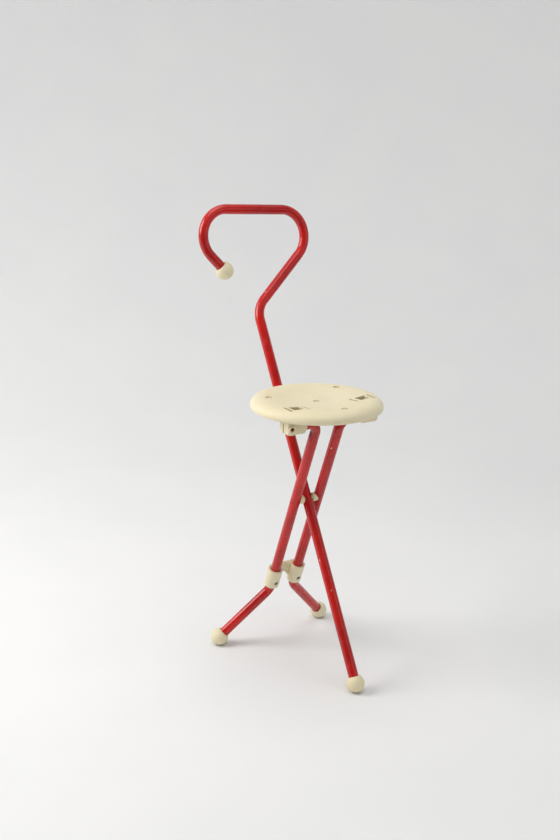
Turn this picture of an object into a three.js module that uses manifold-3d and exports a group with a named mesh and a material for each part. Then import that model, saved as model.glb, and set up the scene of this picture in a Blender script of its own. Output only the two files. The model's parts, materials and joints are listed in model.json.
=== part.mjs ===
// Folding seat cane: a bent tube cane with a crook handle, crossed by a two-legged frame that
// carries a round seat. Millimetres, +Z up, shown opened out as a three-footed stool.
// The cane shaft and the legs cross at one pivot pin. The seat turns on the tops of the legs, and
// its rear edge rests on the shaft. +X is the side of the single foot, +Y the side of the left leg.

import * as THREE from 'three';
import { mergeVertices } from 'three/addons/utils/BufferGeometryUtils.js';
import Module from 'manifold-3d';

const wasm = await Module();
wasm.setup();

// ---------------------------------------------------------------- driving dimensions

const DEG = Math.PI / 180;
const FIT = 0.3; // gap left between pieces that touch
const OVERCUT = 5; // how far a cutting tool runs past the face it opens

const TUBE = { radius: 9, bore: 7.5 };
const BALL = { radius: 16.2, centreHeight: 15.6, tubePastCentre: 4 };

const SHAFT = {
  lean: 29, // degrees from vertical, leaning to -X as it rises
  footX: 139.3, // from the seat's own datum to the middle of the foot ball
  pivotUp: 332, // foot ball to pivot pin, along the shaft
  handleUp: 666.8, // foot ball to the start of the handle's first bend
};

// The handle stands across the cane: its grip runs along Y, and its hook hangs on the right.
const HANDLE = {
  side: 73.7, // degrees about the shaft from +X to the side that the tube is first bent towards
  bendRadius: 48,
  kick: 50, // degrees that the tube first turns away from the shaft's line
  rise: 112.5,
  roll: 25.9, // degrees between the plane of the kick and the plane of the crook and hook
  crook: 134.5, // degrees back over the top
  grip: 119,
  hook: 135.4, // degrees down to the end ball
  tail: 37.3,
};

const LEG = {
  lean: 21.55, // degrees from vertical, leaning to +X as it rises
  offset: 24.6, // middle of the shaft to the middle of each leg
  topUp: 171.6, // pivot pin to the horizontal top tube, along the leg
  topBendRadius: 20,
  topEnd: 88, // from the middle plane to the end of the top tube
  footOut: 87.7, // foot ball's distance outward from the leg's line
  kneeDown: 213.3, // pivot pin to the corner of the knee, along the leg
  kneeRadius: 30,
};

const PIVOT = { pinRadius: 4, pinHalf: 32.4, dome: 1, spigotRadius: 5.6, spigotIn: 5.4, flangeRadius: 8 };

const COLLAR = {
  down: 183, // pivot pin to the collar's middle
  height: 38,
  radius: 13.5,
  cradle: 9.7, // radius of the hollow that takes the folded shaft
  bridgeFront: -4,
  bridgeLift: 11, // how much shorter the bridge is than the sleeves
  archRadius: 11,
  screwDown: 190,
};

const SCREW = { headRadius: 3.3, headHeight: 1.6, shankRadius: 1.6, recessRadius: 3.75, recessDepth: 2.2 };

const SEAT = {
  centreX: 1.4,
  underside: 478.6, // height of the rim's lower edge above the floor
  radius: 115,
  widestAt: 5, // height at which the rim is widest
  height: 18.4,
  crownRadius: 91,
  roll: 113, // radius of the corner that the rim's roll is drawn towards
  foot: { inner: 107.3, outer: 110.5 }, // the rim is tucked in at its lower edge
  middle: 11.6, // height of the top face at the middle of the dish
  flatTo: 38, // radius out to which the dish stays nearly level
  shoulder: { radius: 66, height: 16.3, roll: 79 },
  skin: 3.6,
  ribThick: 2.4,
  ribs: 8,
  hubRadius: 20,
  ringRadius: 70,
  padFloor: 8, // height of the flat pads that the hinge blocks bear on
  shaftClearance: 1.4, // between the shaft and the recess in the rim's rear edge
};

// Steep cups with flat floors, one in the middle and the rest on a circle.
const DIMPLE = { circle: 82, mouth: 6.4, floor: 5.4, depth: 1.9, count: 3 };

const BLOCK = {
  inner: 54, // from the middle plane
  outer: 92,
  front: 12,
  behind: 13.6,
  backCorner: 10,
  bottom: -10.8,
  innerCorner: { y: 6, from: -1, bulge: [1.2, 2.4] },
  outerCorner: 3,
  flange: { inner: 46, bottom: 13.6 }, // a wider head, hidden inside the seat
  boss: { out: 83.8, z: -2.6, radius: 8, proud: 1.5, holeOut: 84.4, holeZ: -0.8, holeRadius: 3.7 },
  pocketFloor: 12.5,
  window: { out: 68, x: 19, y: 20 },
  tongues: [{ out: 49, top: 14.2 }, { out: 85, top: 17.2 }], // tops are heights in the seat
  tongue: { x: 22.5, y: 2.2 },
  endSlot: { x: -2.9, width: 2.6, depth: 2.6, top: 6.6 },
};

const CLIP = {
  front: -98,
  back: -80,
  tip: -118,
  halfWidth: 21,
  plate: 2.9,
  arm: 3.2, // thickness of each arm beside the shaft
  armHeight: 12,
  screwX: -89,
  screwY: 16.6,
  screwLength: 8.4,
  padFront: -112,
  padBack: -77,
  padHalf: 23,
};

const CURVE_SIDES = { tube: 24, round: 28, seat: 64 };
const BEND_STEP = 8; // degrees of bend for each ring of a tube

// ---------------------------------------------------------------- materials

const redPaint = () => new THREE.MeshStandardMaterial({ color: 0xb3160f, roughness: 0.32, metalness: 0.1 });
const creamPlastic = () => new THREE.MeshStandardMaterial({ color: 0xe6dfc2, roughness: 0.5, metalness: 0 });
const steel = () => new THREE.MeshStandardMaterial({ color: 0x8c8d8c, roughness: 0.35, metalness: 0.9 });

// ---------------------------------------------------------------- solid helpers

function toSolid(geometry) {
  const bare = geometry.clone();
  bare.deleteAttribute('normal');
  bare.deleteAttribute('uv');
  const merged = mergeVertices(bare, 1e-4);
  const mesh = new wasm.Mesh({
    numProp: 3,
    vertProperties: new Float32Array(merged.attributes.position.array),
    triVerts: new Uint32Array(merged.index.array),
  });
  return new wasm.Manifold(mesh);
}

function toGeometry(solid) {
  const mesh = solid.getMesh();
  const geometry = new THREE.BufferGeometry();
  geometry.setAttribute('position', new THREE.BufferAttribute(mesh.vertProperties, 3));
  geometry.setIndex(new THREE.BufferAttribute(mesh.triVerts, 1));
  geometry.computeVertexNormals();
  return geometry;
}

// A round bar between two points.
function bar(radius, from, to, sides = CURVE_SIDES.round) {
  const span = new THREE.Vector3().subVectors(to, from);
  const geometry = new THREE.CylinderGeometry(radius, radius, span.length(), sides);
  const up = new THREE.Vector3(0, 1, 0);
  geometry.applyQuaternion(new THREE.Quaternion().setFromUnitVectors(up, span.clone().normalize()));
  geometry.translate(...new THREE.Vector3().addVectors(from, to).multiplyScalar(0.5).toArray());
  return toSolid(geometry);
}

// A box from its lowest to its highest corner.
function block(low, high) {
  const size = high.map((value, axis) => value - low[axis]);
  const geometry = new THREE.BoxGeometry(...size);
  geometry.translate(...high.map((value, axis) => (value + low[axis]) / 2));
  return toSolid(geometry);
}

const point = (x, y, z) => new THREE.Vector3(x, y, z);
const unionOf = (solids) => solids.reduce((whole, next) => whole.add(next));
const cutAll = (solid, cutters) => cutters.reduce((left, cutter) => left.subtract(cutter), solid);

// A solid turned about Z from a half outline of (radius, height) points that starts and ends on the axis.
function turned(outline, sides) {
  const geometry = new THREE.LatheGeometry(outline, sides);
  geometry.rotateX(Math.PI / 2);
  return toSolid(geometry);
}

// ---------------------------------------------------------------- bent tubes

// A run of straight lengths and bends. A bend turns the heading towards the run's side, and a roll turns
// the side about the heading, so that the next bend lies in another plane. The run is sampled at one
// station per straight end and one per BEND_STEP of bend.
class BentRun extends THREE.Curve {
  constructor(start, heading, side, moves) {
    super();
    this.side = side.clone();
    this.stations = [{ at: start.clone(), heading: heading.clone() }];
    moves.forEach((move) => {
      if (move.length) this.goStraight(move.length);
      if (move.roll) this.side.applyAxisAngle(this.last().heading, move.roll * DEG);
      if (move.turn) this.bend(move);
    });
  }

  last() {
    return this.stations[this.stations.length - 1];
  }

  goStraight(length) {
    const { at, heading } = this.last();
    this.stations.push({ at: at.clone().addScaledVector(heading, length), heading });
  }

  bend({ turn, radius }) {
    const { at, heading } = this.last();
    const inward = this.side.clone().multiplyScalar(Math.sign(turn));
    const axis = heading.clone().cross(inward);
    const centre = at.clone().addScaledVector(inward, radius);
    const steps = Math.ceil(Math.abs(turn) / BEND_STEP);
    for (let i = 1; i <= steps; i += 1) {
      const angle = (Math.abs(turn) * DEG * i) / steps;
      const outward = inward.clone().negate().applyAxisAngle(axis, angle);
      this.stations.push({
        at: centre.clone().addScaledVector(outward, radius),
        heading: heading.clone().applyAxisAngle(axis, angle),
      });
    }
    this.side.applyAxisAngle(axis, Math.abs(turn) * DEG);
  }

  get steps() {
    return this.stations.length - 1;
  }

  getPoint(t) {
    return this.stations[Math.round(t * this.steps)].at.clone();
  }

  getPointAt(t) {
    return this.getPoint(t);
  }

  getTangentAt(t) {
    return this.stations[Math.round(t * this.steps)].heading.clone();
  }
}

function sweepTube(run) {
  const section = new THREE.Shape();
  section.absarc(0, 0, TUBE.radius, 0, 2 * Math.PI, false);
  const hollow = new THREE.Path();
  hollow.absarc(0, 0, TUBE.bore, 0, 2 * Math.PI, true);
  section.holes.push(hollow);
  const options = { steps: run.steps, extrudePath: run, curveSegments: CURVE_SIDES.tube / 2 };
  return toSolid(new THREE.ExtrudeGeometry(section, options));
}

// ---------------------------------------------------------------- scene graph

const assembly = new THREE.Group();
assembly.name = 'seat_cane';

const shaftUp = point(-Math.sin(SHAFT.lean * DEG), 0, Math.cos(SHAFT.lean * DEG));
const pivot = point(SHAFT.footX, 0, BALL.centreHeight).addScaledVector(shaftUp, SHAFT.pivotUp);
const legUp = point(Math.sin(LEG.lean * DEG), 0, Math.cos(LEG.lean * DEG));
const hinge = pivot.clone().addScaledVector(legUp, LEG.topUp);
const footDown = (pivot.z - BALL.centreHeight) / legUp.z; // pivot pin to foot ball, along the leg's line

const frame = (position, lean = 0) => {
  const group = new THREE.Group();
  group.position.copy(position);
  group.rotation.y = lean * DEG;
  assembly.add(group);
  return group;
};

const shaftFrame = frame(pivot, -SHAFT.lean); // +Z runs up the shaft
const legFrame = frame(pivot, LEG.lean); // +Z runs up the legs
const seatFrame = frame(point(SEAT.centreX, 0, SEAT.underside));
const hingeFrame = frame(hinge);

function addPart(parent, name, solid, material) {
  const mesh = new THREE.Mesh(toGeometry(solid), material);
  mesh.name = name;
  parent.add(mesh);
  return mesh;
}

// A moulded ball pushed over the end of a tube. The ball is built upright, and `toTube` points from
// its middle out along the tube. A foot ball has a small flat where it stands.
function endBall(toTube, isFoot) {
  const ball = toSolid(new THREE.SphereGeometry(BALL.radius, 24, 16));
  const socketFloor = toTube.clone().multiplyScalar(-BALL.tubePastCentre - FIT);
  const socketMouth = toTube.clone().multiplyScalar(BALL.radius + OVERCUT);
  const cutters = [bar(TUBE.radius + FIT, socketFloor, socketMouth)];
  if (isFoot) {
    const reach = BALL.radius + OVERCUT;
    cutters.push(block([-reach, -reach, -reach], [reach, reach, -BALL.centreHeight]));
  }
  return cutAll(ball, cutters);
}

// A ball in a leaning frame is turned back upright, so its flat lies on the floor.
function addBall(parent, lean, name, centre, toTube, isFoot) {
  const upright = new THREE.Vector3(0, 1, 0);
  const tubeInWorld = toTube.clone().applyAxisAngle(upright, lean * DEG);
  const mesh = addPart(parent, name, endBall(tubeInWorld, isFoot), creamPlastic());
  mesh.position.copy(centre);
  mesh.rotation.y = -lean * DEG;
}

// ---------------------------------------------------------------- the cane shaft

function buildShaft() {
  const radius = HANDLE.bendRadius;
  const start = point(0, 0, -SHAFT.pivotUp - BALL.tubePastCentre);
  const side = point(Math.cos(HANDLE.side * DEG), Math.sin(HANDLE.side * DEG), 0);
  const run = new BentRun(start, point(0, 0, 1), side, [
    { length: SHAFT.handleUp + BALL.tubePastCentre },
    { turn: HANDLE.kick, radius },
    { length: HANDLE.rise },
    { roll: HANDLE.roll },
    { turn: -HANDLE.crook, radius },
    { length: HANDLE.grip },
    { turn: -HANDLE.hook, radius },
    { length: HANDLE.tail + BALL.tubePastCentre },
  ]);

  const reach = TUBE.radius + OVERCUT;
  const bushHole = bar(PIVOT.spigotRadius + FIT, point(0, -reach, 0), point(0, reach, 0));
  addPart(shaftFrame, 'cane_tube', sweepTube(run).subtract(bushHole), redPaint());

  const footCentre = point(0, 0, -SHAFT.pivotUp);
  addBall(shaftFrame, -SHAFT.lean, 'cane_foot', footCentre, point(0, 0, 1), true);

  const back = run.getTangentAt(1).negate();
  const handleCentre = run.getPoint(1).addScaledVector(back, BALL.tubePastCentre);
  addBall(shaftFrame, -SHAFT.lean, 'handle_ball', handleCentre, back, false);
}

// ---------------------------------------------------------------- the legs

function legRun(side) {
  const splay = Math.atan2(LEG.footOut, footDown - LEG.kneeDown);
  const shin = Math.hypot(LEG.footOut, footDown - LEG.kneeDown);
  const kneeTrim = LEG.kneeRadius * Math.tan(splay / 2);
  const inward = -side * Math.sin(splay);
  const heading = point(0, inward, Math.cos(splay));
  const outward = point(0, side * Math.cos(splay), Math.sin(splay));
  const footBall = point(0, side * (LEG.offset + LEG.footOut), -footDown);
  const start = footBall.addScaledVector(heading, -BALL.tubePastCentre);
  return new BentRun(start, heading, outward, [
    { length: shin + BALL.tubePastCentre - kneeTrim },
    { turn: splay / DEG, radius: LEG.kneeRadius },
    { length: LEG.kneeDown - kneeTrim + LEG.topUp - LEG.topBendRadius },
    { turn: 90, radius: LEG.topBendRadius },
    { length: LEG.topEnd - LEG.offset - LEG.topBendRadius },
  ]);
}

// A pan-head screw along +X, with its seating face at x = 0 and a driver slot.
function screwSolid(length) {
  const { headRadius, headHeight, shankRadius } = SCREW;
  const head = bar(headRadius, point(0, 0, 0), point(headHeight, 0, 0), 20);
  const shank = bar(shankRadius, point(-length, 0, 0), point(headHeight / 2, 0, 0), 16);
  const slot = block([headHeight * 0.5, -headRadius * 0.8, -0.45], [headHeight * 2, headRadius * 0.8, 0.45]);
  return head.add(shank).subtract(slot);
}

function buildLeg(side, name) {
  const run = legRun(side);
  const y = side * LEG.offset;
  const reach = TUBE.radius + OVERCUT;
  const pinHole = bar(PIVOT.pinRadius + FIT, point(0, y - reach, 0), point(0, y + reach, 0));
  const screwZ = -COLLAR.screwDown;
  const screwHole = bar(SCREW.shankRadius + FIT, point(0, y, screwZ), point(reach, y, screwZ), 16);
  addPart(legFrame, `${name}_leg_tube`, cutAll(sweepTube(run), [pinHole, screwHole]), redPaint());

  const toTube = run.getTangentAt(0);
  const centre = run.getPoint(0).addScaledVector(toTube, BALL.tubePastCentre);
  addBall(legFrame, LEG.lean, `${name}_foot`, centre, toTube, true);

  const screwLength = COLLAR.radius - SCREW.recessDepth + FIT - TUBE.bore + 1;
  const screw = addPart(legFrame, `${name}_collar_screw`, screwSolid(screwLength), steel());
  screw.position.set(COLLAR.radius - SCREW.recessDepth + FIT, y, screwZ);
}

// The two sleeves on the legs and the bridge that joins them, hollowed to take the folded shaft.
function buildCollar() {
  const top = -COLLAR.down + COLLAR.height / 2;
  const bottom = -COLLAR.down - COLLAR.height / 2;
  const sides = [-1, 1];
  const upright = (radius, y) => bar(radius, point(0, y, bottom - OVERCUT), point(0, y, top + OVERCUT));
  const sleeves = sides.map((side) => {
    const y = side * LEG.offset;
    return bar(COLLAR.radius, point(0, y, bottom), point(0, y, top), 40);
  });
  const bridgeLow = [-COLLAR.radius, -LEG.offset, bottom + COLLAR.bridgeLift];
  const bridge = block(bridgeLow, [COLLAR.bridgeFront, LEG.offset, top]);
  const archZ = bottom + COLLAR.bridgeLift / 2;
  const reach = COLLAR.radius + OVERCUT;
  const arch = bar(COLLAR.archRadius, point(-reach, 0, archZ), point(0, 0, archZ));
  const cutters = [arch, upright(COLLAR.cradle, 0)];
  sides.forEach((side) => {
    const y = side * LEG.offset;
    const z = -COLLAR.screwDown;
    cutters.push(upright(TUBE.radius + FIT, y));
    const recessFloor = point(COLLAR.radius - SCREW.recessDepth, y, z);
    cutters.push(bar(SCREW.recessRadius, recessFloor, point(reach, y, z), 20));
    cutters.push(bar(SCREW.shankRadius + FIT, point(0, y, z), point(reach, y, z), 16));
  });
  addPart(legFrame, 'leg_collar', cutAll(unionOf([...sleeves, bridge]), cutters), creamPlastic());
}

// The pin runs through the shaft and is fixed in both legs. Each bush keeps a leg off the shaft,
// with a saddle against the leg, a flat face by the shaft and a spigot in the shaft's wall.
function buildPivot() {
  const { pinRadius, pinHalf, dome, spigotRadius, spigotIn, flangeRadius } = PIVOT;
  const outline = new THREE.Path();
  outline.moveTo(0, -pinHalf - dome);
  outline.quadraticCurveTo(pinRadius * 0.7, -pinHalf - dome, pinRadius, -pinHalf);
  outline.lineTo(pinRadius, pinHalf);
  outline.quadraticCurveTo(pinRadius * 0.7, pinHalf + dome, 0, pinHalf + dome);
  const pin = new THREE.LatheGeometry(outline.getPoints(4), 24);
  addPart(legFrame, 'pivot_pin', toSolid(pin), steel());

  [['left', 1], ['right', -1]].forEach(([name, side]) => {
    const at = (distance) => point(0, side * distance, 0);
    const legLine = (z) => point(0, side * LEG.offset, z);
    const flange = bar(flangeRadius, at(TUBE.radius + FIT), at(LEG.offset - FIT));
    const spigot = bar(spigotRadius, at(spigotIn), at(TUBE.radius + 1));
    const saddle = bar(TUBE.radius + FIT, legLine(-2 * flangeRadius), legLine(2 * flangeRadius));
    const bore = bar(pinRadius + FIT, at(0), at(LEG.offset));
    addPart(legFrame, `${name}_pivot_bush`, cutAll(flange.add(spigot), [saddle, bore]), creamPlastic());
  });
}

// ---------------------------------------------------------------- the seat

// The top face from the middle out to the rim's widest point, set in by `inset`.
function topOutline(inset) {
  const { radius, widestAt, height, crownRadius, roll, middle, flatTo, shoulder } = SEAT;
  const path = new THREE.Path();
  path.moveTo(0, middle - inset);
  path.quadraticCurveTo(flatTo, middle - inset, shoulder.radius, shoulder.height - inset);
  path.quadraticCurveTo(shoulder.roll, height - inset, crownRadius, height - inset);
  path.quadraticCurveTo(roll - inset, height - inset, radius - inset, widestAt);
  return path.getPoints(4);
}

function seatShell() {
  const { radius, widestAt, skin, foot } = SEAT;
  const tuck = new THREE.Path();
  tuck.moveTo(foot.outer, 0);
  tuck.quadraticCurveTo(radius, 0, radius, widestAt);
  const footInside = new THREE.Vector2(foot.inner, 0);
  const outside = [...tuck.getPoints(3).slice(0, -1), ...topOutline(0).reverse()];
  return turned([...topOutline(skin), footInside, ...outside], CURVE_SIDES.seat);
}

// Everything under the middle of the skin: ribs and pads are trimmed to it, so they end inside the skin.
function underSkin() {
  const { foot, skin } = SEAT;
  const low = 0.2;
  const edge = [new THREE.Vector2(0, low), new THREE.Vector2((foot.inner + foot.outer) / 2, low)];
  return turned([...edge, ...topOutline(skin / 2).reverse()], CURVE_SIDES.seat);
}

function ribRing(radius) {
  const outer = bar(radius + SEAT.ribThick / 2, point(0, 0, 1), point(0, 0, SEAT.height), 48);
  const inner = bar(radius - SEAT.ribThick / 2, point(0, 0, 0), point(0, 0, SEAT.height + 1), 48);
  return outer.subtract(inner);
}

function ribSpoke(index) {
  const half = SEAT.ribThick / 2;
  const spoke = new THREE.BoxGeometry(SEAT.radius - 3 - SEAT.hubRadius, 2 * half, SEAT.height - 1);
  spoke.translate((SEAT.radius - 3 + SEAT.hubRadius) / 2, 0, (SEAT.height + 1) / 2);
  spoke.rotateZ(((index + 0.5) * 2 * Math.PI) / SEAT.ribs);
  return toSolid(spoke);
}

// The straight line of the shaft as the seat's frame sees it, for cutting clearances.
function shaftInSeat(radius) {
  const seatOrigin = point(SEAT.centreX, 0, SEAT.underside);
  const near = pivot.clone().sub(seatOrigin);
  return bar(radius, near, near.clone().addScaledVector(shaftUp, 2 * SHAFT.pivotUp), 48);
}

const hingeInSeat = point(hinge.x - SEAT.centreX, 0, hinge.z - SEAT.underside);

// The height of the top face at a distance from the middle, on the straight lines between its rings.
function topHeightAt(radius) {
  const outline = topOutline(0);
  const next = outline.findIndex((ring) => ring.x >= radius && ring.x > 0);
  const [a, b] = [outline[next - 1], outline[next]];
  return a.y + ((b.y - a.y) * (radius - a.x)) / (b.x - a.x);
}

function seatDimples() {
  const cup = (x, y) => {
    const widening = (DIMPLE.mouth - DIMPLE.floor) / DIMPLE.depth;
    const height = 2 * DIMPLE.depth;
    const geometry = new THREE.CylinderGeometry(DIMPLE.floor + widening * height, DIMPLE.floor, height, 24);
    geometry.rotateX(Math.PI / 2);
    geometry.translate(x, y, topHeightAt(Math.hypot(x, y)) - DIMPLE.depth + height / 2);
    return toSolid(geometry);
  };
  const cups = [cup(0, 0)];
  for (let i = 0; i < DIMPLE.count; i += 1) {
    const angle = (i * 2 * Math.PI) / DIMPLE.count;
    cups.push(cup(DIMPLE.circle * Math.cos(angle), DIMPLE.circle * Math.sin(angle)));
  }
  return cups;
}

// A box given by its x span, its distances out from the middle plane on one side, and its z span.
function sideBox(side, [x0, x1], [out0, out1], [z0, z1]) {
  const ys = [side * out0, side * out1].sort((a, b) => a - b);
  return block([x0, ys[0], z0], [x1, ys[1], z1]);
}

const around = (middle, width) => [middle - width / 2, middle + width / 2];
const grown = ([low, high], by) => [low - by, high + by];

function buildSeat() {
  const { x } = hingeInSeat;
  const { window, tongue } = BLOCK;
  const rimPad = block([CLIP.padFront, -CLIP.padHalf, 0], [CLIP.padBack, CLIP.padHalf, SEAT.height]);
  const spokes = Array.from({ length: SEAT.ribs }, (_, index) => ribSpoke(index));
  let inside = unionOf([ribRing(SEAT.hubRadius), ribRing(SEAT.ringRadius), rimPad, ...spokes]);

  const xSpan = [x - BLOCK.behind, x + BLOCK.front];
  const ySpan = [BLOCK.flange.inner, BLOCK.outer];
  [-1, 1].forEach((side) => {
    const wall = sideBox(side, grown(xSpan, 2.5), grown(ySpan, 2.5), [1, SEAT.height]);
    const pocket = sideBox(side, grown(xSpan, FIT), grown(ySpan, FIT), [-OVERCUT, SEAT.padFloor]);
    inside = inside.add(wall).subtract(pocket);
  });

  const cutters = [shaftInSeat(TUBE.radius + SEAT.shaftClearance), ...seatDimples()];
  const through = [0, SEAT.height + OVERCUT];
  [-1, 1].forEach((side) => {
    cutters.push(sideBox(side, around(x, window.x), around(window.out, window.y), through));
    BLOCK.tongues.forEach(({ out }) => {
      const slotX = around(x, tongue.x + 2 * FIT);
      cutters.push(sideBox(side, slotX, around(out, tongue.y + 2 * FIT), through));
    });
    const at = (z) => point(CLIP.screwX, side * CLIP.screwY, z);
    cutters.push(bar(SCREW.shankRadius + FIT, at(-OVERCUT), at(CLIP.screwLength - CLIP.plate), 16));
  });
  const shell = seatShell().add(inside.intersect(underSkin()));
  addPart(seatFrame, 'seat', cutAll(shell, cutters), creamPlastic());
}

// ---------------------------------------------------------------- seat hinge blocks

// Looking along Y: rounded behind and below the tube, flat in front, square up to the seat's pads.
function blockSection(top) {
  const shape = new THREE.Shape();
  const { front, behind, backCorner, bottom } = BLOCK;
  shape.moveTo(front, top);
  shape.lineTo(-behind, top);
  shape.lineTo(-behind, bottom + backCorner);
  shape.absarc(backCorner - behind, bottom + backCorner, backCorner, Math.PI, 1.5 * Math.PI, false);
  shape.lineTo(front, bottom);
  return shape;
}

// Looking along X: a wide head, and rounded lower corners, more at the end where the tube comes in.
function blockFront(top) {
  const { inner, outer, bottom, flange, innerCorner, outerCorner } = BLOCK;
  const [bulgeY, bulgeZ] = innerCorner.bulge;
  const shape = new THREE.Shape();
  shape.moveTo(flange.inner, top);
  shape.lineTo(flange.inner, flange.bottom);
  shape.lineTo(inner, flange.bottom);
  shape.lineTo(inner, innerCorner.from);
  shape.quadraticCurveTo(inner + bulgeY, bottom + bulgeZ, inner + innerCorner.y, bottom);
  shape.lineTo(outer - outerCorner, bottom);
  shape.absarc(outer - outerCorner, bottom + outerCorner, outerCorner, 1.5 * Math.PI, 2 * Math.PI, false);
  shape.lineTo(outer, top);
  return shape;
}

function extrudedAlongY(shape, from, to) {
  const options = { depth: to - from, bevelEnabled: false, curveSegments: 12 };
  const geometry = new THREE.ExtrudeGeometry(shape, options);
  geometry.rotateX(Math.PI / 2); // shape x stays x, shape y becomes z, depth runs to -y
  geometry.translate(0, to, 0);
  return toSolid(geometry);
}

function extrudedAlongX(shape, from, to, side) {
  const options = { depth: to - from, bevelEnabled: false, curveSegments: 8 };
  const geometry = new THREE.ExtrudeGeometry(shape, options);
  geometry.rotateX(Math.PI / 2);
  geometry.rotateZ(Math.PI / 2); // shape x becomes y, shape y becomes z, depth runs to +x
  geometry.translate(from, 0, 0);
  const solid = toSolid(geometry);
  return side > 0 ? solid : solid.mirror([0, 1, 0]);
}

function buildHingeBlock(side, name) {
  const { inner, outer, front, flange, boss, window, tongue, endSlot } = BLOCK;
  const top = SEAT.padFloor - hingeInSeat.z - FIT;
  const [low, high] = side > 0 ? [flange.inner, outer] : [-outer, -flange.inner];
  const section = extrudedAlongY(blockSection(top), low, high);
  const outline = extrudedAlongX(blockFront(top + 1), -2 * front, 2 * front, side);
  const bossY = side * boss.out;
  const ring = bar(boss.radius, point(front - 2, bossY, boss.z), point(front + boss.proud, bossY, boss.z));
  const tongues = BLOCK.tongues.map((each) => {
    const height = [top - 2, each.top - hingeInSeat.z];
    return sideBox(side, around(0, tongue.x), around(each.out, tongue.y), height);
  });
  const body = unionOf([section.intersect(outline), ring, ...tongues]);

  const holeY = side * boss.holeOut;
  const tubeEnds = [inner - OVERCUT, LEG.topEnd + FIT].map((out) => point(0, side * out, 0));
  const slotHeight = [BLOCK.bottom - OVERCUT, endSlot.top];
  const cutters = [
    bar(TUBE.radius + FIT, ...tubeEnds, 48),
    bar(boss.holeRadius, point(0, holeY, boss.holeZ), point(front + OVERCUT, holeY, boss.holeZ), 20),
    sideBox(side, around(0, window.x), around(window.out, window.y), [BLOCK.pocketFloor, top + OVERCUT]),
    sideBox(side, around(endSlot.x, endSlot.width), [outer - endSlot.depth, outer + OVERCUT], slotHeight),
  ];
  addPart(hingeFrame, `${name}_hinge_block`, cutAll(body, cutters), creamPlastic());
}

// ---------------------------------------------------------------- rear clip

// A thin plate under the seat with a fork. The arms stand each side of the shaft, open and folded alike.
function buildClip() {
  const { front, back, tip, halfWidth, plate, arm, armHeight, screwX, screwY, screwLength } = CLIP;
  const base = block([front, -halfWidth, -plate - FIT], [back, halfWidth, -FIT]);
  const gap = TUBE.radius + 2 * FIT;
  const nose = (armHeight - FIT) / 2;
  const arms = [-1, 1].map((side) => {
    const finger = sideBox(side, [tip + nose, back], [gap, gap + arm], [-armHeight, -FIT]);
    const end = (out) => point(tip + nose, side * out, -FIT - nose);
    return finger.add(bar(nose, end(gap), end(gap + arm), 24));
  });
  const cutters = [-1, 1].map((side) => {
    const at = (z) => point(screwX, side * screwY, z);
    return bar(SCREW.shankRadius + FIT, at(-plate - 1), at(1), 16);
  });
  addPart(seatFrame, 'shaft_clip', cutAll(unionOf([base, ...arms]), cutters), creamPlastic());

  [['left', 1], ['right', -1]].forEach(([name, side]) => {
    const screw = addPart(seatFrame, `${name}_clip_screw`, screwSolid(screwLength), steel());
    screw.rotation.y = Math.PI / 2; // the head faces down
    screw.position.set(screwX, side * screwY, -plate - 2 * FIT);
  });
}

buildShaft();
buildLeg(1, 'left');
buildLeg(-1, 'right');
buildCollar();
buildPivot();
buildSeat();
buildHingeBlock(1, 'left');
buildHingeBlock(-1, 'right');
buildClip();

// The origin is the middle of the whole object's footprint, on the floor.
assembly.updateMatrixWorld(true);
const bounds = new THREE.Box3().setFromObject(assembly, true);
const centre = bounds.getCenter(new THREE.Vector3());
assembly.position.set(-centre.x, -centre.y, -bounds.min.z);

export default assembly;
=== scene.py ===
"""Folding seat cane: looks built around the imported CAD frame. Blender 4.5, metres, +Z up.

Every piece is modelled in millimetres in the frame of the part it belongs to (shaft, legs, seat or hinge)
and is then carried into the row frame in metres.
"""

import json
import math

import bmesh
import bpy
from mathutils import Matrix, Vector

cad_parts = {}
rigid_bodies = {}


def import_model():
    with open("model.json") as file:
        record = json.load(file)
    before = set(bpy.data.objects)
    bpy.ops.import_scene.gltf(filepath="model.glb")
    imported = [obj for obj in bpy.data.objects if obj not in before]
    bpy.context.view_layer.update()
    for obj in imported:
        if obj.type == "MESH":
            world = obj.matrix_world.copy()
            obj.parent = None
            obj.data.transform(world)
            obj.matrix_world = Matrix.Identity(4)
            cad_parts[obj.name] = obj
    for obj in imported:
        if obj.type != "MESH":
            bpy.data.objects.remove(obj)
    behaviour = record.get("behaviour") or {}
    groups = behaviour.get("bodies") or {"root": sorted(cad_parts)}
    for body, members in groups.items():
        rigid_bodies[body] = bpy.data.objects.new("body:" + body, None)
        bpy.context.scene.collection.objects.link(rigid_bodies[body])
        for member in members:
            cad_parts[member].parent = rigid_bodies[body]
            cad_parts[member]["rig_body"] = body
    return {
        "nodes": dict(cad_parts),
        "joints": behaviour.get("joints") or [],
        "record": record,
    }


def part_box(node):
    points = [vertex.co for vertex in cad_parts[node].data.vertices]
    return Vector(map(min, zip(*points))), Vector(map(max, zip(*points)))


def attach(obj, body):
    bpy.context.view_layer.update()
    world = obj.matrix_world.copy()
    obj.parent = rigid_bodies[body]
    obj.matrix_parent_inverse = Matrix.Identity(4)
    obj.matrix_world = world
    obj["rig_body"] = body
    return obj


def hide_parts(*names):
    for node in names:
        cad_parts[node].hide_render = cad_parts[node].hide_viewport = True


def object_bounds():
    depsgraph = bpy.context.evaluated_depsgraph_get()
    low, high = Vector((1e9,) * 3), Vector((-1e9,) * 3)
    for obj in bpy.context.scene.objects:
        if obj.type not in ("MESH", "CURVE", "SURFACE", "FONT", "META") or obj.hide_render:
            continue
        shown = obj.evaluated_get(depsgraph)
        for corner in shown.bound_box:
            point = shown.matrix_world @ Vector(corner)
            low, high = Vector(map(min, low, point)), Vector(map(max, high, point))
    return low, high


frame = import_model()
CAD_BOX = [list(corner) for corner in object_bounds()]

# ------------ driving dimensions (mm)

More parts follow.
